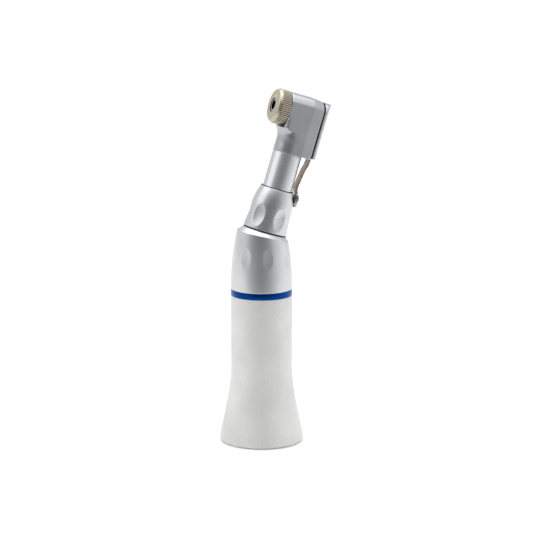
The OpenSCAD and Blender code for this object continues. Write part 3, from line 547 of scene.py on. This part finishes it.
coil = addPiece("clutchSpring", bm, bodyPlace, "clutch_spring")
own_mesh(coil)
print("clutch spring done")

# Knurled cap: a turned profile whose rim is cut by a wave. Where the wave is above dark, the groove is painted
# dark brown as shade, and so is the bur's hole.
cap = {"outerR": 4.3, "holeR": 1.65, "face": -7.0, "knurlLow": -6.2, "back": -3.7, "depth": 0.16,
       "knurlEnd": 0.14, "knurlRows": 12, "teeth": 54, "perTooth": 6, "toothPower": 1.2,
       "dark": 0.1, "roundR": 0.8, "roundSteps": 8, "boreR": 3.75, "floor": -6.0, "chamfer": 0.12,
       "slack": 0.02, "sharpAngle": 60}


def capProfile():
    faceR = cap["outerR"] - cap["depth"]
    profile = [(cap["holeR"] + cap["chamfer"], cap["face"])]
    for i in range(cap["roundSteps"] + 1):
        turn = math.pi / 2 * i / cap["roundSteps"]
        profile.append((faceR - cap["roundR"] * (1 - math.sin(turn)),
                        cap["knurlLow"] - cap["roundR"] * math.cos(turn)))
    knurlLen = cap["back"] - cap["knurlLow"] - 2 * cap["knurlEnd"]
    for i in range(cap["knurlRows"] + 1):
        rise = cap["knurlLow"] + cap["knurlEnd"] + knurlLen * i / cap["knurlRows"]
        profile.append((cap["outerR"], rise))
    return profile + [(faceR, cap["back"]), (cap["boreR"], cap["back"]),
                      (cap["boreR"], cap["floor"]), (cap["holeR"], cap["floor"]),
                      (cap["holeR"], cap["face"] + cap["chamfer"])]


bm = spinProfile(capProfile(), cap["teeth"] * cap["perTooth"])
for vert in bm.verts:
    r = math.hypot(vert.co.x, vert.co.y)
    if abs(r - cap["outerR"]) < 1e-3:
        wave = math.cos(cap["teeth"] * math.atan2(vert.co.y, vert.co.x))
        cut = cap["depth"] * max(0, wave) ** cap["toothPower"]
        vert.co.x *= (r - cut) / r
        vert.co.y *= (r - cut) / r
for face in bm.faces:
    at = face.calc_center_median()
    r = math.hypot(at.x, at.y)
    onRim = cap["knurlLow"] < at.z < cap["back"] and r > cap["outerR"] - cap["depth"] - cap["slack"]
    inGroove = onRim and math.cos(cap["teeth"] * math.atan2(at.y, at.x)) > cap["dark"]
    inHole = r < cap["holeR"] + cap["chamfer"]
    # painted shade: the grooves and the hole take the dark second finish
    if inHole or inGroove:
        face.material_index = 1
addPiece("headCap", bm, headPlace, "head_cap", sharpAngle=cap["sharpAngle"], second="grooveShadeNickel")
print("cap done")

# Floor: pale matt backdrop paper. The half width is in metres.
floorLook = {"colour": "f4f4f2", "shade": "efefec", "grainMm": 1.5, "half": 4.0, "roughness": 0.8}
bm = bmesh.new()
bmesh.ops.create_grid(bm, x_segments=2, y_segments=2, size=floorLook["half"])
floorMesh = bpy.data.meshes.new("studioFloor")
bm.to_mesh(floorMesh)
bm.free()
studioFloor = bpy.data.objects.new("studioFloor", floorMesh)
bpy.context.scene.collection.objects.link(studioFloor)
paper = bpy.data.materials.new("backdropPaper")
paper.use_nodes = True
paperTree = paper.node_tree
paperShader = paperTree.nodes["Principled BSDF"]
paperShader.inputs["Roughness"].default_value = floorLook["roughness"]
paperPlace = addNode(paperTree, "ShaderNodeTexCoord").outputs["Object"]
paperGrain = addNode(paperTree, "ShaderNodeTexNoise", {"Vector": paperPlace,
                     "Scale": 1 / (floorLook["grainMm"] * mm)})
paperColour = addNode(paperTree, "ShaderNodeMix", {"Factor": paperGrain.outputs["Fac"],
                      "A": toLinear(floorLook["shade"]), "B": toLinear(floorLook["colour"])},
                      data_type="RGBA")
paperTree.links.new(paperColour.outputs[2], paperShader.inputs["Base Color"])
floorMesh.materials.append(paper)

# The camera looks from the front left, a little from above. Distances are in metres.
view = {"azimuth": -17.84, "elevation": 11.49, "distance": 0.5, "height": 0.040,
        "rightShift": 0.00122, "upShift": 0.00336, "lens": 138.3}
azimuth = math.radians(view["azimuth"])
elevation = math.radians(view["elevation"])
back = Vector((math.sin(azimuth) * math.cos(elevation), -math.cos(azimuth) * math.cos(elevation),
               math.sin(elevation)))
right = Vector((math.cos(azimuth), math.sin(azimuth), 0))
up = back.cross(right)
centre = Vector((0, 0, view["height"]))
cameraData = bpy.data.cameras.new("studioCamera")
cameraData.lens = view["lens"]
cameraData.sensor_width = 36
cameraData.clip_start = 0.01
camera = bpy.data.objects.new("studioCamera", cameraData)
camera.location = centre + back * view["distance"]
aim = centre + right * view["rightShift"] + up * view["upShift"]
camera.rotation_euler = (aim - camera.location).to_track_quat("-Z", "Y").to_euler()
bpy.context.scene.collection.objects.link(camera)
bpy.context.scene.camera = camera

# A grey card on the floor in front, which only the reflections see: it gives the polished walls
# their dark middle. Out from its middle line it is grey as far as plain and white past fade. Its
# sizes are in metres, but lift is in millimetres.
card = {"near": 0.12, "far": 1.1, "halfWide": 0.5, "lift": 0.5, "colour": "585858",
        "white": "d2d2d0", "plain": 0.06, "fade": 0.42, "roughness": 0.9}
bm = bmesh.new()
bmesh.ops.create_grid(bm, x_segments=1, y_segments=1, size=0.5)
cardPlace = (Matrix.Rotation(azimuth, 4, "Z")
             @ Matrix.Translation((0, -(card["near"] + card["far"]) / 2, card["lift"] * mm))
             @ Matrix.Diagonal((2 * card["halfWide"], card["far"] - card["near"], 1, 1)))
bm.transform(cardPlace)
cardMesh = bpy.data.meshes.new("greyCard")
bm.to_mesh(cardMesh)
bm.free()
greyCard = bpy.data.objects.new("greyCard", cardMesh)
bpy.context.scene.collection.objects.link(greyCard)
greyCard.visible_camera = False
greyCard.visible_diffuse = False
greyCard.visible_shadow = False
greyCard.visible_transmission = False
cardPaper = bpy.data.materials.new("cardPaper")
cardPaper.use_nodes = True
cardTree = cardPaper.node_tree
cardShader = cardTree.nodes["Principled BSDF"]
cardShader.inputs["Roughness"].default_value = card["roughness"]
cardTurned = addNode(cardTree, "ShaderNodeMapping", {"Rotation": (0, 0, -azimuth),
                     "Vector": addNode(cardTree, "ShaderNodeTexCoord").outputs["Object"]})
cardSides = addNode(cardTree, "ShaderNodeSeparateXYZ", {"Vector": cardTurned.outputs["Vector"]})
cardWide = addNode(cardTree, "ShaderNodeMath", {0: cardSides.outputs["X"]}, operation="ABSOLUTE")
cardFade = addNode(cardTree, "ShaderNodeMapRange", {"Value": cardWide.outputs[0],
                   "From Min": card["plain"], "From Max": card["fade"]},
                   interpolation_type="SMOOTHSTEP")
cardColour = addNode(cardTree, "ShaderNodeMix", {"Factor": cardFade.outputs["Result"],
                     "A": toLinear(card["colour"]), "B": toLinear(card["white"])},
                     data_type="RGBA")
cardTree.links.new(cardColour.outputs[2], cardShader.inputs["Base Color"])
cardMesh.materials.append(cardPaper)

# A white room that falls to grey on the near side and is brightest overhead. The grey starts where
# the cosine of the turn from the near side passes edge.
room = {"white": 0.88, "grey": 0.24, "edge": 0.25, "aimTurn": -4, "zenith": 0.95,
        "zenithFrom": 0.55, "zenithFull": 0.95}
world = bpy.data.worlds.new("studioRoom")
world.use_nodes = True
bpy.context.scene.world = world
worldTree = world.node_tree
background = worldTree.nodes["Background"]
background.inputs["Color"].default_value = toLinear("ffffff")
skyDirection = addNode(worldTree, "ShaderNodeTexCoord").outputs["Generated"]
front = azimuth + math.radians(room["aimTurn"])
towards = addNode(worldTree, "ShaderNodeVectorMath", {0: skyDirection,
                  1: (math.sin(front), -math.cos(front), 0)}, operation="DOT_PRODUCT")
level = addNode(worldTree, "ShaderNodeMapRange", {"Value": towards.outputs["Value"],
                "From Min": room["edge"], "From Max": 1.0, "To Min": room["white"],
                "To Max": room["grey"]}, interpolation_type="SMOOTHSTEP")
overhead = addNode(worldTree, "ShaderNodeVectorMath", {0: skyDirection, 1: (0, 0, 1)},
                   operation="DOT_PRODUCT")
extra = addNode(worldTree, "ShaderNodeMapRange", {"Value": overhead.outputs["Value"],
                "From Min": room["zenithFrom"], "From Max": room["zenithFull"], "To Min": 0.0,
                "To Max": room["zenith"]}, interpolation_type="SMOOTHSTEP")
strength = addNode(worldTree, "ShaderNodeMath", {0: level.outputs["Result"],
                   1: extra.outputs["Result"]}, operation="ADD")
worldTree.links.new(strength.outputs[0], background.inputs["Strength"])

# Large soft lights. Side is the turn from the camera in degrees, far the distance along the floor
# in metres.
lightAim = Vector((0, 0, 0.05))
lights = {
    "leftSoftBox": {"side": -80, "height": 0.42, "far": 0.45, "size": (0.50, 0.40), "power": 0.38},
    "rightSoftBox": {"side": 100, "height": 0.20, "far": 0.55, "size": (0.30, 0.45), "power": 0.12},
    "topSoftBox": {"side": 170, "height": 0.60, "far": 0.20, "size": (0.50, 0.50), "power": 0.8},
}
for name, look in lights.items():
    lightData = bpy.data.lights.new(name, "AREA")
    lightData.shape = "RECTANGLE"
    lightData.size, lightData.size_y = look["size"]
    lightData.energy = look["power"]
    light = bpy.data.objects.new(name, lightData)
    turn = azimuth + math.radians(look["side"])
    light.location = (math.sin(turn) * look["far"], -math.cos(turn) * look["far"], look["height"])
    light.rotation_euler = (lightAim - light.location).to_track_quat("-Z", "Y").to_euler()
    bpy.context.scene.collection.objects.link(light)
bpy.context.scene.view_settings.view_transform = "Standard"
print("floor, light and camera done")
